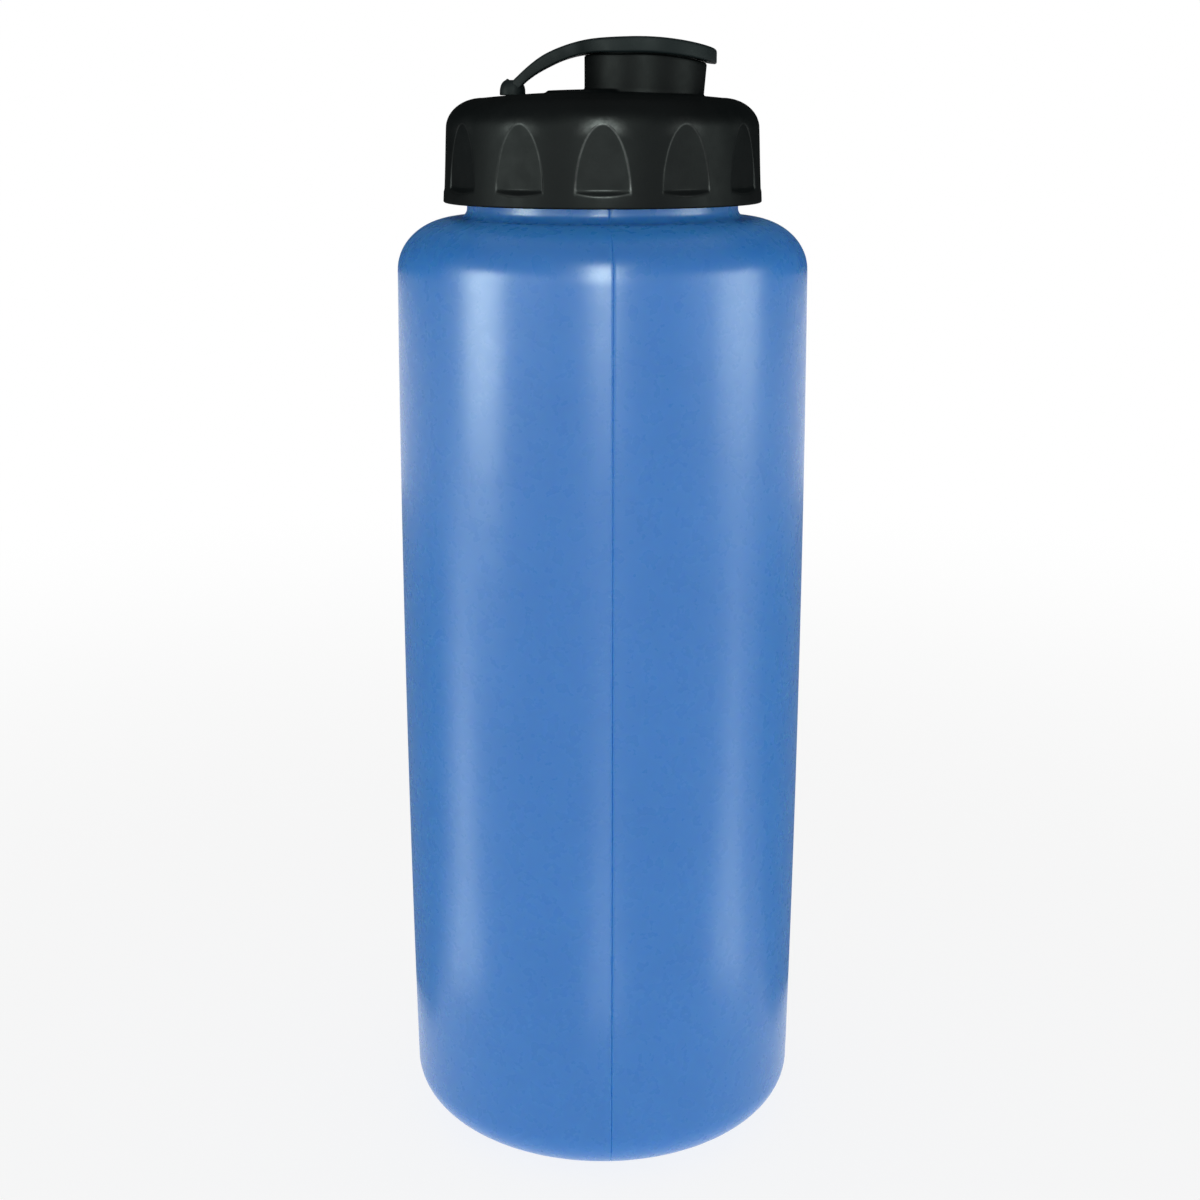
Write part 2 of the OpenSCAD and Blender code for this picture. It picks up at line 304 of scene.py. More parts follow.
def body_line(inset, rows):
    """Half profile of base, heel, body and shoulder, set in from the outside."""
    base_r = STAND_R - STAND_W
    base = [(r, inset + PUSH_UP * (1 - (r / base_r) ** 2)) for r in span(0, base_r, 14)]
    heel = ellipse(STAND_R, HEEL_H, HEEL_W - inset, HEEL_H - inset, -90, 0, 20)
    wall = []
    for i in range(1, rows):
        u = 2 * i / rows - 1
        z = HEEL_H + (BODY_H - SHOULDER_H - HEEL_H) * i / rows
        wall.append((END_R - inset + BELLY * (1 - u * u), z))
    shoulder = ellipse(
        END_R - SHOULDER_W, BODY_H - SHOULDER_H,
        SHOULDER_W - inset, SHOULDER_H - inset, 0, 90, 20)
    return base + heel + wall + shoulder


def make_bottle():
    lip = NECK_FILLET / 2
    foot_r = NECK_FILLET + DECK_W
    neck_foot = ellipse(NECK_R + foot_r, BODY_H + foot_r, foot_r, foot_r, -90, -180, 12)[1:]
    neck_rows = [(NECK_R, z) for z in span(BODY_H + foot_r, RIM_Z - lip, 76)[1:]]
    rim = ellipse(NECK_R - lip, RIM_Z - lip, lip, lip, 0, 90, 5)
    mouth = ellipse(BORE_R + lip, RIM_Z - lip, lip, lip, 90, 180, 5)
    inner = body_line(WALL, 24)
    outer = body_line(0, 50) + neck_foot + neck_rows + rim

    def outside(angle, r, z):
        if z > BODY_H + foot_r and r > NECK_R - lip:
            r += thread_height(angle, z, THREAD_LOW, NECK_TURNS, NECK_RIDGE)
        if z > 0.05 and (z < THREAD_LOW - 2 or z > RIM_Z - 1.5):
            r += seam_height(angle, r)
        return r, z

    shell = Shell()
    angles = seam_columns(168)
    out_rings = shell.revolve(outer, angles, bend=outside)
    throat = [(BORE_R, BODY_H)] + ellipse(BORE_R + WALL / 2, BODY_H - WALL / 2,
                                          WALL / 2, WALL / 2, 180, 270, 4)
    in_rings = shell.revolve(mouth + throat + list(reversed(inner)), angles)
    shell.bridge(out_rings[-1], in_rings[0])
    return shell.build("bottle_body")


# Lid

def skirt_radius(z):
    """Radius of the lid's outside at a height, without its scallops."""
    if z <= TOP_Z - EDGE_H:
        return RIM_R + (SIDE_R - RIM_R) * (z - SKIRT_Z) / (TOP_Z - EDGE_H - SKIRT_Z)
    lift = min(1.0, (z - TOP_Z + EDGE_H) / EDGE_H)
    return TOP_R + EDGE_W * math.sqrt(max(0.0, 1 - lift * lift))


def arch_half(z):
    """Half width of a scallop's outline at a height."""
    t = min(1.0, max(0.0, (TIP_Z - z) / SCALLOP_H))
    return SCALLOP_W / 2 * (ARCH_ROUND * math.sqrt(1 - (1 - t) ** 2) + (1 - ARCH_ROUND) * t)


def arch_line(step):
    """Points (x, z) along one scallop's outline, evenly spaced from foot to foot over its tip."""
    half = [(arch_half(TIP_Z - SCALLOP_H * t ** 3), TIP_Z - SCALLOP_H * t ** 3)
            for t in span(0, 1, 60)]
    half.append((SCALLOP_W / 2, FOOT_Z - 1.6))
    whole = [(-x, z) for x, z in reversed(half)] + half[1:]
    lengths = [0.0]
    for (x0, z0), (x1, z1) in zip(whole, whole[1:]):
        lengths.append(lengths[-1] + math.hypot(x1 - x0, z1 - z0))
    count = round(lengths[-1] / step)
    line = []
    for target in span(0, lengths[-1], count):
        i = max(j for j in range(len(whole) - 1) if lengths[j] <= target + 1e-9)
        share = (target - lengths[i]) / (lengths[i + 1] - lengths[i])
        line.append(tuple(p + (q - p) * share for p, q in zip(whole[i], whole[i + 1])))
    return line


def arch_side(x, z, line):
    """Distance to the outline, negative inside it."""
    best = min(_to_segment(x, z, a, b) for a, b in zip(line, line[1:]))
    inside = z < TIP_Z and abs(x) < arch_half(z)
    return -best if inside else best


def _to_segment(x, z, a, b):
    dx, dz = b[0] - a[0], b[1] - a[1]
    t = ((x - a[0]) * dx + (z - a[1]) * dz) / (dx * dx + dz * dz)
    t = min(1.0, max(0.0, t))
    return math.hypot(x - a[0] - t * dx, z - a[1] - t * dz)


def scallop_depth(x, z, wall, line):
    """How far the leaning floor, its ledge and its rounded edges lie below the wall."""
    side = arch_side(x, z, line)
    if side > 0.5:
        return 0.0
    foot_r = skirt_radius(FOOT_Z) - SCALLOP_DEEP
    tip_r = SIDE_R - SCALLOP_START
    floor = tip_r + (foot_r - tip_r) * (TIP_Z - z) / SCALLOP_H
    ledge = foot_r + (FOOT_Z - z) / LEDGE_SLOPE
    plane = smooth_max(floor, ledge, LEDGE_ROUND)
    depth = math.sqrt(max(wall * wall - x * x, 1.0)) - plane
    depth = smooth_max(depth, 0.0, FLOOR_ROUND)
    edge = smooth((EDGE_OUT - side) / EDGE_SPAN)
    return max(0.0, depth) * edge


def crisp_edge(x, z, line):
    """How polished a place by a scallop is: its outline, corners, tip and ledge, from 0 to 1."""
    side = arch_side(x, z, line)
    low = smooth((FOOT_Z + 2.2 - z) / 2.0)
    high = smooth((z - TIP_Z + 4.0) / 3.0)
    near = 0.0
    if z > FOOT_Z - 0.2:
        near = (0.62 + 0.38 * max(low, high)) * smooth(1 - abs(side + LINE_IN) / LINE_HALF)
    if side > 0:
        glow = smooth(1 - side / GLOW_REACH) * smooth((z - TIP_Z + 3.0) / 2.4)
        near = max(near, 0.5 * glow * smooth((TIP_Z + 1.6 - z) / 1.0))
    if abs(x) < arch_half(z) + 0.2:
        middle = smooth(1.3 - abs(x) / 3.4)
        low_edge = FOOT_Z - (SCALLOP_DEEP - x * x / (2 * SIDE_R)) * LEDGE_SLOPE
        near = max(near, 0.6 * middle * smooth(1 - abs(z - FOOT_Z - 0.12) / 0.15))
        near = max(near, (0.3 + 0.6 * middle) * smooth(1 - abs(z - low_edge) / 0.22))
    return near


def skirt_levels():
    """Heights of the skirt's rows at a sector's edge, from the rim's bevel to the top's edge."""
    side = span(SKIRT_Z + LID_BEVEL, TOP_Z - EDGE_H, 14)
    edge = [TOP_Z - EDGE_H + EDGE_H * math.sin(math.radians(a)) for a in span(0, 90, 14)[1:]]
    return side + edge


class Unrolled:
    """The skirt's outside laid flat: u runs round it and s runs up its profile."""

    def __init__(self):
        zs = span(SKIRT_Z + LID_BEVEL, TOP_Z - EDGE_H, 60)
        zs += [TOP_Z - EDGE_H + EDGE_H * math.sin(math.radians(a)) for a in span(0, 90, 120)[1:]]
        self.zs = zs
        self.ss = [0.0]
        for low, high in zip(zs, zs[1:]):
            run = skirt_radius(high) - skirt_radius(low)
            self.ss.append(self.ss[-1] + math.hypot(run, high - low))

    def _look(self, value, keys, values):
        low, high = 0, len(keys) - 1
        while high - low > 1:
            mid = (low + high) // 2
            if keys[mid] <= value:
                low = mid
            else:
                high = mid
        share = (value - keys[low]) / (keys[high] - keys[low])
        return values[low] + (values[high] - values[low]) * min(1.0, max(0.0, share))

    def up(self, z):
        return self._look(z, self.zs, self.ss)

    def height(self, s):
        return self._look(s, self.ss, self.zs)


def sector_points(flat, line):
    """Flat points (angle, s) of one sector of the skirt, close together along the scallop."""
    half = TAU / SCALLOPS / 2
    offsets = (-0.42, -0.27, -0.17, -0.08, 0.0, 0.08, 0.17, 0.29, 0.5, 0.85)
    points = []

    def add(x, z):
        r = skirt_radius(z)
        if abs(x) < r * math.sin(half) - 0.3 and SKIRT_Z + LID_BEVEL + 0.2 < z < TOP_Z - 0.5:
            points.append((math.asin(x / r) * SIDE_R, flat.up(z)))

    for i, (x, z) in enumerate(line):
        a, b = line[max(i - 1, 0)], line[min(i + 1, len(line) - 1)]
        dx, dz = b[0] - a[0], b[1] - a[1]
        size = math.hypot(dx, dz)
        for off in offsets:
            add(x - dz / size * off, z + dx / size * off)
    for z in span(FOOT_Z + 0.45, FOOT_Z - 1.6, 17):
        for x in span(-SCALLOP_W / 2 + 0.6, SCALLOP_W / 2 - 0.6, 22):
            add(x, z)
    levels, shares = skirt_levels(), span(-1, 1, SECTOR_STEPS)[1:-1]
    for z in levels[1:-1]:
        r = skirt_radius(z)
        for share in shares:
            x = r * math.sin(share * half)
            near_ledge = abs(x) < SCALLOP_W / 2 + 0.3 and FOOT_Z - 1.8 < z < FOOT_Z + 0.65
            if not near_ledge and not -0.75 < arch_side(x, z, line) < 1.1:
                points.append((share * half * SIDE_R, flat.up(z)))
    edges = [(side * half * SIDE_R, flat.up(z)) for z in levels for side in (-1, 1)]
    ends = [(share * half * SIDE_R, flat.up(z)) for share in shares
            for z in (levels[0], levels[-1])]
    return points + edges + ends


def skirt_outside(shell):
    """The same sector twelve times; the edges are polished most at the front."""
    flat = Unrolled()
    line = arch_line(0.5)
    points = sector_points(flat, line)
    out, _, faces, _, _, _ = geometry.delaunay_2d_cdt(
        [Vector(p) for p in points], [], [], 0, 1e-5)
    placed = []
    for p in out:
        z = flat.height(p.y)
        wall = skirt_radius(z)
        angle = p.x / SIDE_R
        r = wall - scallop_depth(wall * math.sin(angle), z, wall, line)
        placed.append((angle, r, z))
    crisp = [crisp_edge(skirt_radius(z) * math.sin(a), z, line) for a, _, z in placed]
    for k in range(SCALLOPS):
        turn = -math.pi / 2 + k * TAU / SCALLOPS
        ids = shell.ring([(r * math.cos(a + turn), r * math.sin(a + turn), z)
                          for a, r, z in placed])
        polish = 0.2 + 0.8 * max(0.0, -math.sin(turn)) ** 10
        shell.marks.update(zip(ids, (value * polish for value in crisp)))
        shell.faces.extend(tuple(ids[i] for i in face) for face in faces)


def dome_height(x, y):
    """Height of the lid's top at a place, with the raised disc and the fillet at the spout."""
    r = math.hypot(x, y)
    z = TOP_Z + DOME_H * (1 - min(1.0, r / TOP_R) ** 2)
    z += DISC_H * smooth((DISC_R + 0.1 - r) / 0.9)
    gap = math.hypot(x - ROOT_X, y) - ROOT_R
    fillet = 0.35
    if gap < fillet:
        bite = fillet - max(gap, 0.0)
        z += fillet - math.sqrt(max(0.0, fillet * fillet - bite * bite))
    return z


def circle(cx, r, n, turn=0.0):
    return [(cx + r * math.cos(a + turn), r * math.sin(a + turn)) for a in even_angles(n)]


def lid_angles():
    """The same angles as the skirt's sectors have at their ends."""
    first = -math.pi / 2 - TAU / SCALLOPS / 2
    return [first + a for a in even_angles(SCALLOPS * SECTOR_STEPS)]


def clear_of(x, y, rounds):
    """Whether a plan place lies outside the polygons drawn on circles (x, r, n)."""
    return all(math.hypot(x - cx, y) > r * math.cos(math.pi / n) - 1e-3 for cx, r, n in rounds)


def lid_top(shell):
    edge = [(TOP_R * math.cos(a), TOP_R * math.sin(a)) for a in lid_angles()]
    rounds = [(ROOT_X, ROOT_R, SPOUT_N), (KNOB_X, HOLE_R, HOLE_N)]
    points = []
    for r in span(1.6, TOP_R - 1.2, 15):
        points += circle(0, r, max(12, round(TAU * r / 1.7)), r)
    for r in span(DISC_R - 0.9, DISC_R + 0.25, 7):
        points += circle(0, r, 84)
    for off in (0.06, 0.12, 0.19, 0.27, 0.36, 0.7):
        points += circle(ROOT_X, ROOT_R + off, SPOUT_N)
    points += circle(KNOB_X, HOLE_R + 0.8, HOLE_N)
    clear = [p for p in points
             if math.hypot(*p) < TOP_R - 0.5
             and math.hypot(p[0] - ROOT_X, p[1]) > ROOT_R + 0.04
             and math.hypot(p[0] - KNOB_X, p[1]) > HOLE_R + 0.3]
    shell.fill(clear, [edge] + [circle(*at) for at in rounds],
               lambda x, y: clear_of(x, y, rounds), lambda x, y: (x, y, dome_height(x, y)))


def rim_height(x):
    """Height of the spout's rim, which follows the underside of the cap."""
    seat_r = CREST_R - STRAP_T / 2 - CAP_GAP
    lower = (CAP_CROWN + CAP_DEEP) * cap_share(x)
    return CREST_Z + math.sqrt(seat_r ** 2 - (x - CREST_X) ** 2) - lower


def spout(shell):
    """Outer wall, rounded rim and bore of the spout, down to the roof's underside."""
    angles = even_angles(SPOUT_N)
    lip = 0.35
    outer = SPOUT_R + SPOUT_OUT

    def wall_ring(r, x, height_at):
        return shell.ring([(x + r * math.cos(a), r * math.sin(a), height_at(a)) for a in angles])

    def top(a, r):
        return rim_height(SPOUT_X + r * math.cos(a))

    def foot(a):
        return dome_height(ROOT_X + ROOT_R * math.cos(a), ROOT_R * math.sin(a))

    rings = []
    for share in span(0, 1, 10):
        r, x = ROOT_R + (outer - ROOT_R) * share, ROOT_X + (SPOUT_X - ROOT_X) * share
        rings.append(wall_ring(
            r, x, lambda a: foot(a) + (top(a, outer) - lip - foot(a)) * share))
    for turn in (30, 60, 90):
        r = outer - lip + lip * math.cos(math.radians(turn))
        drop = lip * (1 - math.sin(math.radians(turn)))
        rings.append(wall_ring(r, SPOUT_X, lambda a: top(a, r) - drop))
    for turn in (90, 60, 30, 0):
        r = SPOUT_BORE_R + lip - lip * math.cos(math.radians(turn))
        drop = lip * (1 - math.sin(math.radians(turn)))
        rings.append(wall_ring(r, SPOUT_X, lambda a: top(a, r) - drop))
    for share in (0.25, 0.5, 0.75, 1):
        low = lip + (top(0, SPOUT_BORE_R) - lip - ROOF_Z) * share
        rings.append(wall_ring(
            SPOUT_BORE_R, SPOUT_X,
            lambda a: ROOF_Z if share == 1 else top(a, SPOUT_BORE_R) - low))
    for low, high in zip(rings, rings[1:]):
        shell.bridge(low, high)


def lid_inside(shell):
    """Rim, threaded wall, guide land and the roof's underside."""
    profile = [(skirt_radius(SKIRT_Z + LID_BEVEL), SKIRT_Z + LID_BEVEL)]
    profile += ellipse(RIM_R - LID_BEVEL, SKIRT_Z + LID_BEVEL, LID_BEVEL, LID_BEVEL, 0, -90, 4)[1:]
    profile += ellipse(THREAD_WALL_R + LID_BEVEL, SKIRT_Z + LID_BEVEL,
                       LID_BEVEL, LID_BEVEL, -90, -180, 4)
    thread_top = LAND_Z - 2 * LID_BEVEL
    profile += [(THREAD_WALL_R, z) for z in span(SKIRT_Z + LID_BEVEL, thread_top, 60)[1:]]
    profile += [(LAND_R + 0.2, LAND_Z - 0.1), (LAND_R, LAND_Z + 0.2), (LAND_R, ROOF_Z)]

    def ridge(angle, r, z):
        if abs(r - THREAD_WALL_R) < 1e-6:
            r -= thread_height(angle, z, THREAD_LOW - LEAD / 2, LID_TURNS, LID_RIDGE)
        return r, z

    shell.revolve(profile, lid_angles(), bend=ridge)
    edge = [(LAND_R * math.cos(a), LAND_R * math.sin(a)) for a in lid_angles()]
    rounds = [(SPOUT_X, SPOUT_BORE_R, SPOUT_N), (KNOB_X, HOLE_R, HOLE_N)]
    bore, hole = (circle(*at) for at in rounds)
    shell.fill([], [edge, bore, hole], lambda x, y: clear_of(x, y, rounds),
               lambda x, y: (x, y, ROOF_Z), flip=True)
    upper = shell.ring([(x, y, dome_height(x, y)) for x, y in hole])
    lower = shell.ring([(x, y, ROOF_Z) for x, y in hole])
    shell.bridge(upper, lower)


def make_lid():
    shell = Shell()
    skirt_outside(shell)
    lid_top(shell)
    spout(shell)
    lid_inside(shell)
    return shell.build("screw_lid", weld=2e-3)


# Strap

def strap_frame(x):
    """Point at mid thickness over a plan place x, and the strap's unit normal there."""
    if x >= JOIN_X:
        angle = math.asin((x - CREST_X) / CREST_R)
        centre, r = (CREST_X, CREST_Z), CREST_R
    else:
        angle = math.asin(max(-0.999, (x - BEND_X) / BEND_R))
        centre, r = (BEND_X, BEND_Z), BEND_R
    normal = (math.sin(angle), math.cos(angle))
    return (centre[0] + r * normal[0], centre[1] + r * normal[1]), normal


def strap_edge(x):
    """Half width of the strap between the anchor and the cap."""
    share = min(1.0, max(0.0, (x - KNOB_X - KNOB_R) / (JOIN_X - KNOB_X - KNOB_R)))
    return (STRAP_ROOT_W + (STRAP_W - STRAP_ROOT_W) * share) / 2


def strap_thickness(x):
    """Full thickness over most of the strap, thinner where it runs into the knob."""
    return STRAP_THIN + (STRAP_T - STRAP_THIN) * smooth((x - KNOB_X - 1.5) / 6.5)


def cap_share(x):
    """Rises from 0 on the band to 1 on the cap."""
    return smooth((x + 5.0) / 10.0)


def strap_outline():
    """Plan of the strap and cap: a band, a fillet on each side and a round cap."""
    reach = CAP_R + STRAP_FLARE
    y = strap_edge(-7) + STRAP_FLARE
    for _ in range(8):
        x = SPOUT_X - math.sqrt(reach ** 2 - y ** 2)
        y = strap_edge(x) + STRAP_FLARE
    fillet_x = x
    start = math.atan2(y, x - SPOUT_X)
    end_x = KNOB_X + 0.6
    upper = [(end_x, strap_edge(end_x))]
    upper += [(x, strap_edge(x)) for x in span(end_x + 0.9, fillet_x, 26)[:-1]]
    upper += [(fillet_x + STRAP_FLARE * math.cos(a), y + STRAP_FLARE * math.sin(a))
              for a in span(-math.pi / 2, start - math.pi, 14)[:-1]]
    upper += [(SPOUT_X + CAP_R * math.cos(a), CAP_R * math.sin(a)) for a in span(start, 0, 60)]
    lower = [(x, -y) for x, y in reversed(upper[:-1])]
    return upper + lower


def inset(outline, d):
    """The outline moved inwards by d, point by point."""
    n = len(outline)
    moved = []
    for i, (x, y) in enumerate(outline):
        ax, ay = outline[i - 1]
        bx, by = outline[(i + 1) % n]
        dx, dy = bx - ax, by - ay
        size = math.hypot(dx, dy)
        moved.append((x + dy / size * d, y - dx / size * d))
    return moved


def strap_sheet(shell):
    """The curved band and cap, with rounded edges."""
    outline = strap_outline()

    def place(x, y, level):
        """Point over a plan place at a level across the thickness."""
        (cx, cz), (nx, nz) = strap_frame(x)
        cap = cap_share(x)
        reach = min(1.0, math.hypot(x - SPOUT_X, y) / CAP_R)
        drop = CAP_CROWN * reach ** 2 + CAP_DEEP * max(0.0, -2 * level / STRAP_T)
        level *= strap_thickness(x) / STRAP_T
        upright = nx * (1 - smooth((x - SPOUT_X) / 8.0))
        return (cx + upright * level, y, cz + nz * level - drop * cap)

    quarter = [math.radians(t) for t in (0, 18, 36, 54, 72, 90)]
    under = [(ROUND_UNDER * (1 - math.sin(a)), ROUND_UNDER * (1 - math.cos(a)) - STRAP_T / 2)
             for a in quarter]
    over = [(ROUND_TOP * (1 - math.cos(a)), STRAP_T / 2 - ROUND_TOP * (1 - math.sin(a)))
            for a in quarter]
    rings = [shell.ring([place(x, y, level) for x, y in inset(outline, d)])
             for d, level in under + over]
    for low, high in zip(rings, rings[1:]):
        shell.bridge(high, low)
    grid = []
    for x in span(KNOB_X + 1.8, SPOUT_X + CAP_R - 1.4, 60):
        reach = math.sqrt(max(0.0, (CAP_R - 1.2) ** 2 - (x - SPOUT_X) ** 2))
        half = max(strap_edge(x) - 1.2 if x < SPOUT_X else 0.0, reach, 0.4)
        count = max(2, round(2 * half / 1.5))
        grid += [(x, y) for y in span(-half, half, count)]
    for edge, level, flip in ((ROUND_TOP, STRAP_T / 2, False),
                              (ROUND_UNDER, -STRAP_T / 2, True)):
        loop = inset(outline, edge)
        inside = [p for p in grid if _inside(p, inset(outline, edge + 0.3))]
        shell.fill(inside, [loop], lambda x, y: _inside((x, y), loop),
                   lambda x, y: place(x, y, level), flip)


def _inside(p, loop):
    x, y = p
    hit = False
    for (ax, ay), (bx, by) in zip(loop, loop[1:] + loop[:1]):
        if (ay > y) != (by > y) and x < ax + (y - ay) / (by - ay) * (bx - ax):
            hit = not hit
    return hit


def strap_knob():
    """Domed knob with its gate mark, and the stem and barb under the roof."""
    shell = Shell()
    seat = TOP_Z + DOME_H * (1 - (KNOB_X / TOP_R) ** 2) - 0.06
    top = TOP_Z + KNOB_H
    barb_top = ROOF_Z - 0.05
    profile = [(0, barb_top - BARB_H), (STEM_R - 0.3, barb_top - BARB_H),
               (BARB_R - 0.05, barb_top - 0.35), (BARB_R, barb_top - 0.2),
               (BARB_R - 0.1, barb_top), (STEM_R, barb_top), (STEM_R, seat),
               (KNOB_R - 0.12, seat), (KNOB_R, seat + 0.12)]
    profile += [(KNOB_R, seat + 0.45)]
    profile += ellipse(KNOB_R - KNOB_ROUND, top - KNOB_DOME, KNOB_ROUND, KNOB_DOME, 0, 90, 14)
    profile += [(r, top) for r in (1.0, 0.8, 0.6, 0.4, 0.2, 0)]

    gate_x, gate_r, gate_h = -1.05, 0.5, 0.3

    def gate(angle, r, z):
        gap = math.hypot(r * math.cos(angle) - gate_x, r * math.sin(angle))
        return r, z + (gate_h * smooth(1 - gap / gate_r) if z > top - 0.6 else 0.0)

    shell.revolve(profile, even_angles(64), centre=KNOB_X, bend=gate)
    return shell.build("strap_knob")


def strap_plug():
    """Ring plug under the cap, which swings into the spout's bore."""
    shell = Shell()
    inner = PLUG_R - PLUG_TAPER - PLUG_WALL
    top = TOP_Z + CREST_H - STRAP_T / 2

    def under(angle, r, z):
        x = SPOUT_X + r * math.cos(angle)
        limit = CREST_Z + math.sqrt(CREST_R ** 2 - (x - CREST_X) ** 2)
        return r, (limit if z >= top else z)

    profile = [(inner, top), (inner, PLUG_Z + 0.3), (inner + 0.3, PLUG_Z),
               (PLUG_R - PLUG_TAPER - 0.3, PLUG_Z), (PLUG_R - PLUG_TAPER, PLUG_Z + 0.3),
               (PLUG_R - 0.12, PLUG_Z + 2.2), (PLUG_R, PLUG_Z + 2.8), (PLUG_R, top)]
    shell.revolve(profile, even_angles(SPOUT_N), centre=SPOUT_X, bend=under, closed=True)
    return shell.build("strap_plug")


def make_strap():
    sheet = Shell()
    strap_sheet(sheet)
    strap = sheet.build("strap", weld=1e-3)
    for other in (strap_knob(), strap_plug()):
        join = strap.modifiers.new("join", "BOOLEAN")
        join.operation = "UNION"
        join.solver = "EXACT"
        join.object = other
        graph = bpy.context.evaluated_depsgraph_get()
        strap_mesh = bpy.data.meshes.new_from_object(strap.evaluated_get(graph))
        strap.modifiers.remove(join)
        strap.data = strap_mesh
        bpy.data.objects.remove(other)
    shade(strap.data, STRAP_CREASE)
    return strap


def make_seal():
    shell = Shell()
    low, high = SEAL_LOW.z, SEAL_HIGH.z
    inner, outer = BORE_R - 0.6, LAND_R - 0.05
    r = 0.3
    profile = ellipse(outer - r, low + r, r, r, -90, 0, 4)
    profile += ellipse(outer - r, high - r, r, r, 0, 90, 4)
    profile += ellipse(inner + r, high - r, r, r, 90, 180, 4)
    profile += ellipse(inner + r, low + r, r, r, 180, 270, 4)
    shell.revolve(profile, even_angles(120), closed=True)
    return shell.build("seal")


# Materials

def new_material(name):
    material = bpy.data.materials.new(name)
    material.use_nodes = True
    nodes = material.node_tree.nodes
    return material, nodes, material.node_tree.links, nodes["Principled BSDF"]


def noise(nodes, links, scale, detail=2.0, rough=0.5):
    where = nodes.new("ShaderNodeTexCoord")
    node = nodes.new("ShaderNodeTexNoise")
    node.inputs["Scale"].default_value = scale
    node.inputs["Detail"].default_value = detail
    node.inputs["Roughness"].default_value = rough
    links.new(where.outputs["Object"], node.inputs["Vector"])
    return node.outputs["Fac"]


def ramp(nodes, links, value, low, high, start=0.3, end=0.7):
    node = nodes.new("ShaderNodeValToRGB")
    node.color_ramp.elements[0].position = start
    node.color_ramp.elements[0].color = (*low, 1)
    node.color_ramp.elements[1].position = end
    node.color_ramp.elements[1].color = (*high, 1)
    links.new(value, node.inputs["Fac"])
    return node.outputs["Color"]


def bump(nodes, links, value, strength, depth, below=None):
    node = nodes.new("ShaderNodeBump")
    node.inputs["Strength"].default_value = strength
    node.inputs["Distance"].default_value = depth
    links.new(value, node.inputs["Height"])
    if below is not None:
        links.new(below, node.inputs["Normal"])
    return node.outputs["Normal"]


def plastic(name, dark, light, rough, grain, grain_depth, wave=None):
    """Moulded plastic: cloudy and grainy tone, uneven gloss, a fine grain and soft waves."""
    material, nodes, links, shader = new_material(name)
    clouds = nodes.new("ShaderNodeMix")
    clouds.inputs["Factor"].default_value = 0.22
    links.new(noise(nodes, links, 60, 3), clouds.inputs["A"])
    links.new(noise(nodes, links, grain * 0.8, 1), clouds.inputs["B"])
    tone = ramp(nodes, links, clouds.outputs["Result"], dark, light)
    links.new(tone, shader.inputs["Base Color"])
    low, high = ([r] * 3 for r in rough)
    gloss = ramp(nodes, links, noise(nodes, links, 350, 3), low, high)
    links.new(gloss, shader.inputs["Roughness"])
    normal = bump(nodes, links, noise(nodes, links, grain, 2), 0.5, grain_depth)
    if wave:
        normal = bump(nodes, links, noise(nodes, links, wave[0], 1), 0.5, wave[1], normal)
    links.new(normal, shader.inputs["Normal"])
    return material, shader


def bottle_material():
    """Clear blue; the neck and the top of the shoulder get a lighter blue, painted light for the
    light that gets in from both sides of the thin wall.
    """
    material, shader = plastic(
        "blue_polyethylene", (0.034, 0.232, 0.655), (0.039, 0.247, 0.688),
        (0.26, 0.3), 2600, 0.000012, (90, 0.00012))
    shader.inputs["IOR"].default_value = 1.5
    shader.inputs["Subsurface Weight"].default_value = 0.8
    shader.inputs["Subsurface Radius"].default_value = (0.2, 0.45, 1.0)
    shader.inputs["Subsurface Scale"].default_value = 0.0025
    nodes, links = material.node_tree.nodes, material.node_tree.links
    # Painted light: from 5 mm under the neck's foot upwards, the base colour turns a lighter blue
    # in place of the light that comes through the thin wall under the lid's shade.
    where, axes = nodes.new("ShaderNodeTexCoord"), nodes.new("ShaderNodeSeparateXYZ")
    links.new(where.outputs["Object"], axes.inputs["Vector"])
    neck = nodes.new("ShaderNodeMapRange")
    neck.interpolation_type = "SMOOTHSTEP"
    neck.inputs["From Min"].default_value = (BODY_H - 5.0) * MM
    neck.inputs["From Max"].default_value = (BODY_H + 1.3) * MM
    links.new(axes.outputs["Z"], neck.inputs["Value"])
    painted_neck_light = nodes.new("ShaderNodeMix")
    painted_neck_light.data_type = "RGBA"
    body_color, neck_light_color, result = painted_neck_light.inputs[6], painted_neck_light.inputs[7], painted_neck_light.outputs[2]
    neck_light_color.default_value = (0.064, 0.335, 0.89, 1)
    links.new(neck.outputs["Result"], painted_neck_light.inputs["Factor"])
    links.new(shader.inputs["Base Color"].links[0].from_socket, body_color)
    links.new(result, shader.inputs["Base Color"])
    return material


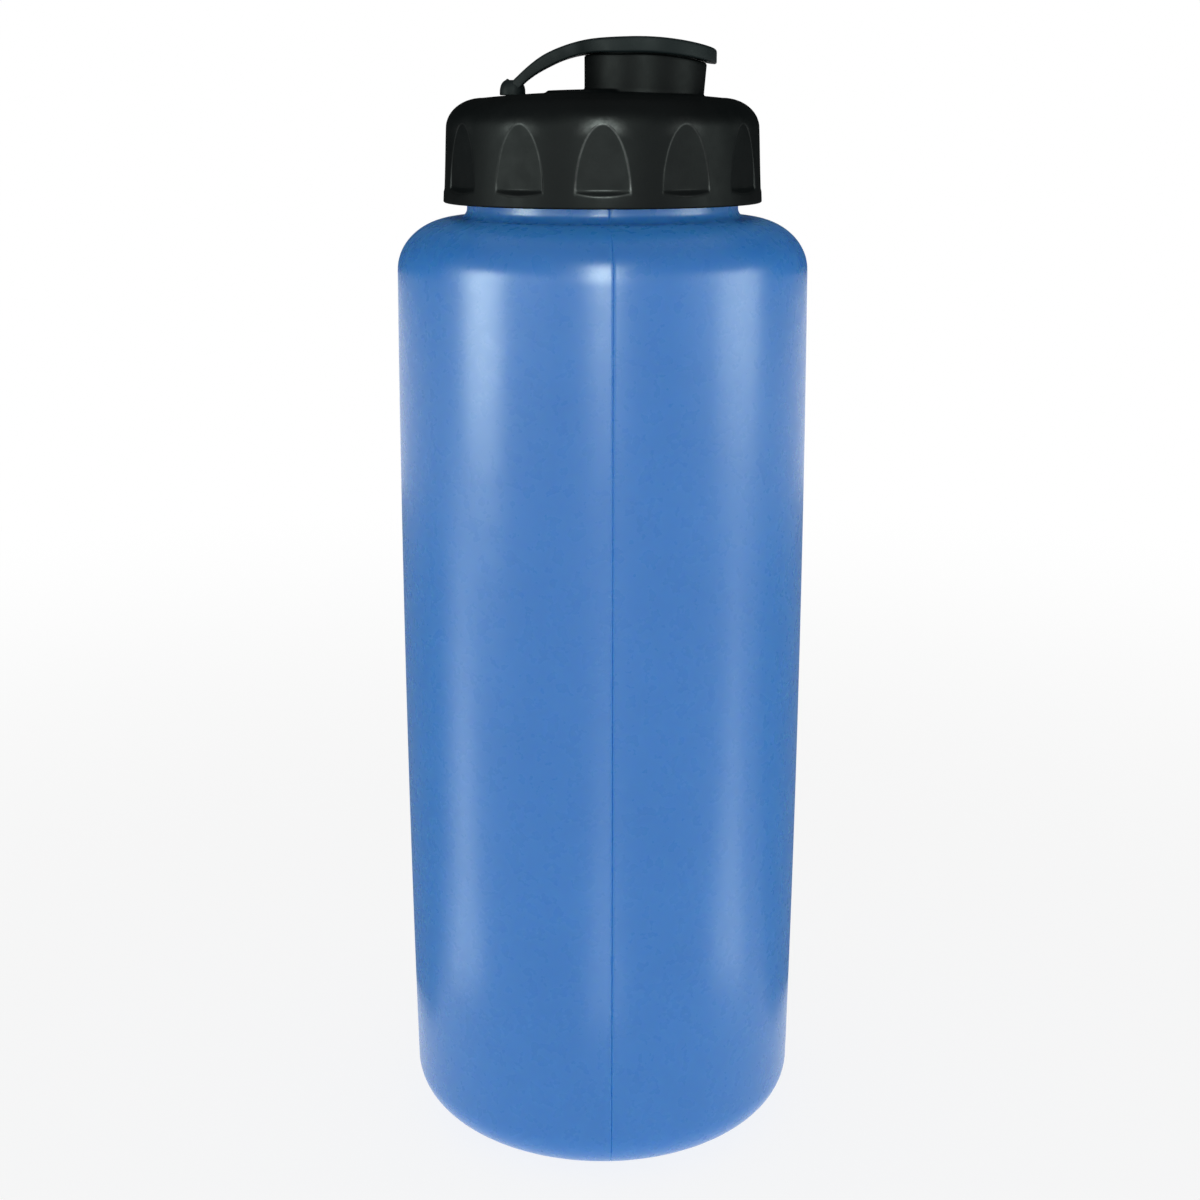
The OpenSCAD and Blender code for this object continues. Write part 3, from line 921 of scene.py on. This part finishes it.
def lid_material():
    """Near-black plastic whose gloss is broken by its grain, and full on the scallops' edges."""
    material, shader = plastic(
        "black_polypropylene", (0.0014, 0.0026, 0.0028), (0.003, 0.005, 0.0053),
        (0.44, 0.52), 2200, 0.00003, (260, 0.00004))
    nodes, links = material.node_tree.nodes, material.node_tree.links
    crisp = nodes.new("ShaderNodeAttribute")
    crisp.attribute_name = "crisp"
    worn = nodes.new("ShaderNodeMath")
    worn.operation = "MULTIPLY"
    grain = nodes.new("ShaderNodeMapRange")
    grain.inputs["From Min"].default_value = 0.3
    grain.inputs["From Max"].default_value = 0.6
    grain.inputs["To Min"].default_value = 0.5
    links.new(noise(nodes, links, 900, 3, 0.7), grain.inputs["Value"])
    links.new(crisp.outputs["Fac"], worn.inputs[0])
    links.new(grain.outputs["Result"], worn.inputs[1])
    level = nodes.new("ShaderNodeMapRange")
    level.inputs["To Min"].default_value = 0.125
    level.inputs["To Max"].default_value = 1.0
    links.new(worn.outputs[0], level.inputs["Value"])
    links.new(level.outputs["Result"], shader.inputs["Coat Weight"])
    shader.inputs["Coat IOR"].default_value = 1.65
    shader.inputs["Specular IOR Level"].default_value = 0.0
    gloss = shader.inputs["Roughness"].links[0].from_socket
    polish = nodes.new("ShaderNodeMix")
    polish.inputs["B"].default_value = 0.3
    links.new(worn.outputs[0], polish.inputs["Factor"])
    links.new(gloss, polish.inputs["A"])
    links.new(polish.outputs["Result"], shader.inputs["Coat Roughness"])
    links.new(shader.inputs["Normal"].links[0].from_socket, shader.inputs["Coat Normal"])
    return material


def strap_material():
    material, shader = plastic(
        "soft_black_strap", (0.004, 0.0095, 0.0105), (0.0056, 0.0125, 0.0135),
        (0.5, 0.6), 1800, 0.00002, (200, 0.00005))
    shader.inputs["Specular IOR Level"].default_value = 0.12
    return material


def seal_material():
    material, _ = plastic(
        "seal_rubber", (0.56, 0.56, 0.53), (0.64, 0.64, 0.6), (0.6, 0.7), 1500, 0.00003)
    return material


# Studio

def make_world():
    world = bpy.data.worlds.new("studio")
    world.use_nodes = True
    sky = world.node_tree.nodes["Background"]
    sky.inputs["Color"].default_value = (1, 1, 1, 1)
    sky.inputs["Strength"].default_value = CEILING_LIGHT
    bpy.context.scene.world = world


def backdrop_material():
    """White to the camera and in reflections; grey enough near the bottle to take its shadow."""
    material, nodes, links, shader = new_material("backdrop_white")
    shader.inputs["Base Color"].default_value = (0.95, 0.95, 0.95, 1)
    shader.inputs["Roughness"].default_value = 0.8
    shader.inputs["Specular IOR Level"].default_value = 0.1
    path, glow = nodes.new("ShaderNodeLightPath"), nodes.new("ShaderNodeEmission")
    seen = path.outputs["Is Camera Ray"]
    for ray in ("Is Glossy Ray", "Is Transmission Ray"):
        either = nodes.new("ShaderNodeMath")
        either.operation = "MAXIMUM"
        links.new(seen, either.inputs[0])
        links.new(path.outputs[ray], either.inputs[1])
        seen = either.outputs[0]
    level = nodes.new("ShaderNodeMapRange")
    level.inputs["To Min"].default_value = SWEEP_LIGHT
    level.inputs["To Max"].default_value = 1.0
    links.new(seen, level.inputs["Value"])
    links.new(level.outputs["Result"], glow.inputs["Strength"])
    where, reach = nodes.new("ShaderNodeTexCoord"), nodes.new("ShaderNodeVectorMath")
    reach.operation = "LENGTH"
    links.new(where.outputs["Object"], reach.inputs[0])
    fade = nodes.new("ShaderNodeMapRange")
    fade.interpolation_type = "SMOOTHSTEP"
    fade.inputs["From Min"].default_value = SHADOW_NEAR
    fade.inputs["From Max"].default_value = SHADOW_FAR
    fade.inputs["To Min"].default_value = 1 - SHADOW_SHARE
    fade.inputs["To Max"].default_value = 1.0
    links.new(reach.outputs["Value"], fade.inputs["Value"])
    mix = nodes.new("ShaderNodeMixShader")
    links.new(fade.outputs["Result"], mix.inputs["Fac"])
    links.new(shader.outputs["BSDF"], mix.inputs[1])
    links.new(glow.outputs["Emission"], mix.inputs[2])
    links.new(mix.outputs["Shader"], nodes["Material Output"].inputs["Surface"])
    return material


def make_backdrop():
    """Floor that sweeps up into a low wall all round, in metres."""
    profile = [(r, 0.0) for r in span(0, SWEEP_R - SWEEP_BEND, 10)]
    profile += ellipse(SWEEP_R - SWEEP_BEND, SWEEP_BEND, SWEEP_BEND, SWEEP_BEND, -90, 0, 12)[1:]
    profile.append((SWEEP_R, SWEEP_WALL))
    shell = Shell()
    shell.revolve([(r / MM, z / MM) for r, z in profile], even_angles(96))
    sweep = shell.build("backdrop")
    sweep.data.materials.append(backdrop_material())


def make_cards():
    """Dark cards behind the bottle, seen in reflections only, so that its sides stay deep."""
    turns = [math.radians(t) for t in span(5, 175, 34)]
    shapes = {"card_wall": ((CARD_R, CARD_LOW), (CARD_R, CARD_HIGH), CARD_TONE),
              "card_floor": ((FLOOR_CARD_IN, CARD_LIFT), (FLOOR_CARD_OUT, CARD_LIFT),
                             FLOOR_CARD_TONE)}
    for name, (*shape, tone) in shapes.items():
        material, _, _, shader = new_material(name)
        shader.inputs["Base Color"].default_value = (tone, tone, tone, 1)
        shader.inputs["Roughness"].default_value = 0.9
        shell = Shell()
        near, far = (shell.ring([(r / MM * math.cos(a), r / MM * math.sin(a), z / MM)
                                 for a in turns]) for r, z in shape)
        shell.bridge(near, far, closed=False)
        card = shell.build(name)
        card.data.materials.append(material)
        card.visible_camera = False
        card.visible_diffuse = False
        card.visible_shadow = False
        card.visible_transmission = False


def soft_box(name, place, aim, size, radiance):
    """A lamp that puts a highlight on the pieces; their even light comes from the sweep."""
    data = bpy.data.lights.new(name, "AREA")
    data.shape = "RECTANGLE"
    data.size, data.size_y = size
    data.energy = radiance * math.pi * size[0] * size[1]
    data.color = LAMP_TINT
    lamp = bpy.data.objects.new(name, data)
    lamp.location = place
    look = Vector(aim) - Vector(place)
    lamp.rotation_euler = look.to_track_quat("-Z", "Y").to_euler()
    lamp.visible_diffuse = False
    lamp.visible_camera = False
    bpy.context.scene.collection.objects.link(lamp)
    return lamp


def standing_box(name, azimuth, distance, low, high, width, radiance):
    """Upright soft box in metres; azimuth in degrees, from the camera's side towards its right."""
    turn, middle = math.radians(azimuth), (low + high) / 2
    place = (math.sin(turn) * distance, -math.cos(turn) * distance, middle)
    soft_box(name, place, (0, 0, middle), (width, high - low), radiance)


def floor_strip(name, start, end, width, radiance):
    """Long narrow lamp lying on the floor, which carries a highlight down the body."""
    start, end = Vector((*start, STRIP_LIFT)), Vector((*end, STRIP_LIFT))
    middle, along = (start + end) / 2, end - start
    lamp = soft_box(name, middle, middle + Vector((0, 0, 1)), (along.length, width), radiance)
    lamp.rotation_euler = (math.pi, 0, math.atan2(along.y, along.x))


def make_lights():
    standing_box("left_box", -67, 0.9, 0.045, 0.49, 0.34, 12)
    standing_box("left_inner_box", -42, 0.9, 0.1, 0.5, 0.46, 1.3)
    standing_box("right_box", 78, 0.9, 0.045, 0.46, 0.44, 5.8)
    standing_box("right_inner_box", 54, 0.9, 0.1, 0.5, 0.3, 1.3)
    standing_box("front_box", 1, 0.8, 0.11, 0.27, 0.15, 11.5)
    standing_box("front_top_box", -0.5, 0.8, 0.27, 1.0, 0.17, 22)
    floor_strip("left_strip", (-0.105, -0.036), (-0.88, -0.09), 0.05, 2.3)
    floor_strip("right_strip", (0.105, -0.05), (0.88, -0.18), 0.05, 2.4)
    floor_strip("left_far_strip", (-0.24, -0.045), (-0.88, -0.09), 0.055, 3.6)
    floor_strip("front_strip", (0.002, -0.11), (0.01, -0.6), 0.035, 2.1)


def make_camera():
    """The photograph's view: level with the lid's top and tipped down."""
    data = bpy.data.cameras.new("camera")
    data.sensor_width = SENSOR
    data.lens = FOCAL / PHOTO_W * SENSOR
    camera = bpy.data.objects.new("camera", data)
    camera.location = (CAMERA_X, CAMERA_Y, (TOP_Z - CAMERA_DROP) * MM)
    camera.rotation_euler = (math.pi / 2 - CAMERA_PITCH, 0, 0)
    bpy.context.scene.collection.objects.link(camera)
    bpy.context.scene.camera = camera


def finish_piece(piece, material, nodes, body=None):
    piece.data.materials.clear()
    piece.data.materials.append(material)
    if body:
        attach(piece, body)
    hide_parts(*nodes)


def main():
    bpy.context.scene.view_settings.view_transform = "Standard"
    bottle, lid = make_bottle(), make_lid()
    finish_piece(bottle, bottle_material(), ["bottle"], "bottle")
    finish_piece(lid, lid_material(), ["lid"], "lid")
    finish_piece(make_seal(), seal_material(), ["seal_ring"], "seal")
    strap = make_strap()
    finish_piece(strap, strap_material(), ["strap_anchor", "flip_cap"])
    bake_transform(strap)
    make_world()
    make_backdrop()
    make_cards()
    make_lights()
    make_camera()


main()
